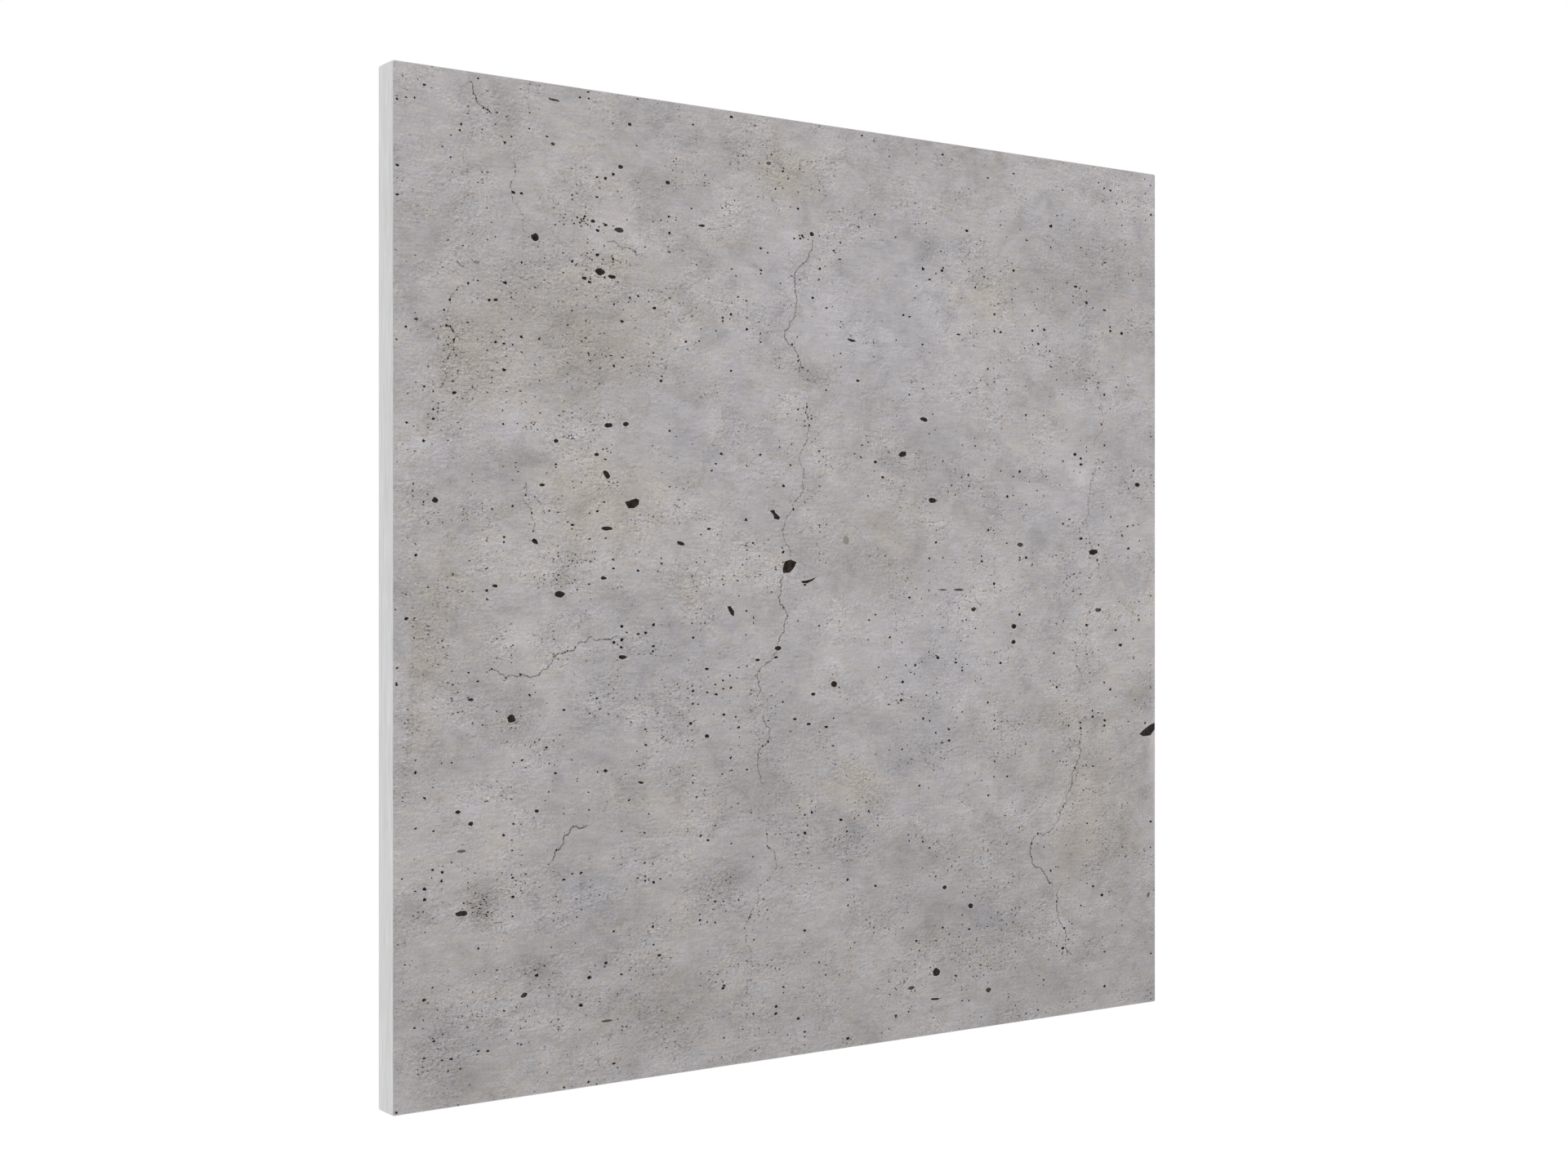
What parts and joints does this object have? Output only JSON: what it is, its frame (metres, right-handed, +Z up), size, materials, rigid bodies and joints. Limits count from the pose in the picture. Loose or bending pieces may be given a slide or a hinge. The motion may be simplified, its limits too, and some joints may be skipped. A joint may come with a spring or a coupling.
{
  "type": "wall board",
  "caption": "Square, thin wall board: a folded brushed-steel tray with a flat concrete-look printed face, backing board, and corner plates with keyholes for hanging on screws.",
  "frame": {"origin": "centre of the pattern of the four keyholes, on the rear face of the hanger plates, midway across and up the board", "axes": "+Z up, +X to the right seen from the front, the printed face looks along -Y and the wall is on the +Y side"},
  "size_m": [0.5, 0.0193, 0.5],
  "materials": {
    "printed_film": "printed polymer film with a matt laminate, showing fair-faced concrete",
    "brushed_stainless": "brushed one way before folding",
    "zinc_plated_steel": "bright zinc plating",
    "hardboard": "pressed wood fibre, screen-textured back",
    "foam_tape": "white closed-cell foam",
    "rivet_aluminium": "satin, as formed",
    "bumper_rubber": "matt black, moulded"
  },
  "bodies": {
    "root": {"backing_board": "hardboard", "bonding_tape_1": "foam_tape", "bonding_tape_2": "foam_tape", "bonding_tape_3": "foam_tape", "bonding_tape_4": "foam_tape", "bonding_tape_5": "foam_tape", "hanger_plate_lower_left": "zinc_plated_steel", "hanger_plate_lower_right": "zinc_plated_steel", "hanger_plate_upper_left": "zinc_plated_steel", "hanger_plate_upper_right": "zinc_plated_steel", "printed_film": "printed_film", "rivet_lower_left_side_inner": "rivet_aluminium", "rivet_lower_left_side_outer": "rivet_aluminium", "rivet_lower_left_top_inner": "rivet_aluminium", "rivet_lower_left_top_outer": "rivet_aluminium", "rivet_lower_right_side_inner": "rivet_aluminium", "rivet_lower_right_side_outer": "rivet_aluminium", "rivet_lower_right_top_inner": "rivet_aluminium", "rivet_lower_right_top_outer": "rivet_aluminium", "rivet_upper_left_side_inner": "rivet_aluminium", "rivet_upper_left_side_outer": "rivet_aluminium", "rivet_upper_left_top_inner": "rivet_aluminium", "rivet_upper_left_top_outer": "rivet_aluminium", "rivet_upper_right_side_inner": "rivet_aluminium", "rivet_upper_right_side_outer": "rivet_aluminium", "rivet_upper_right_top_inner": "rivet_aluminium", "rivet_upper_right_top_outer": "rivet_aluminium", "steel_tray": "brushed_stainless", "wall_bumper_lower_left": "bumper_rubber", "wall_bumper_lower_right": "bumper_rubber", "wall_bumper_upper_left": "bumper_rubber", "wall_bumper_upper_right": "bumper_rubber"}
  },
  "joints": []
}
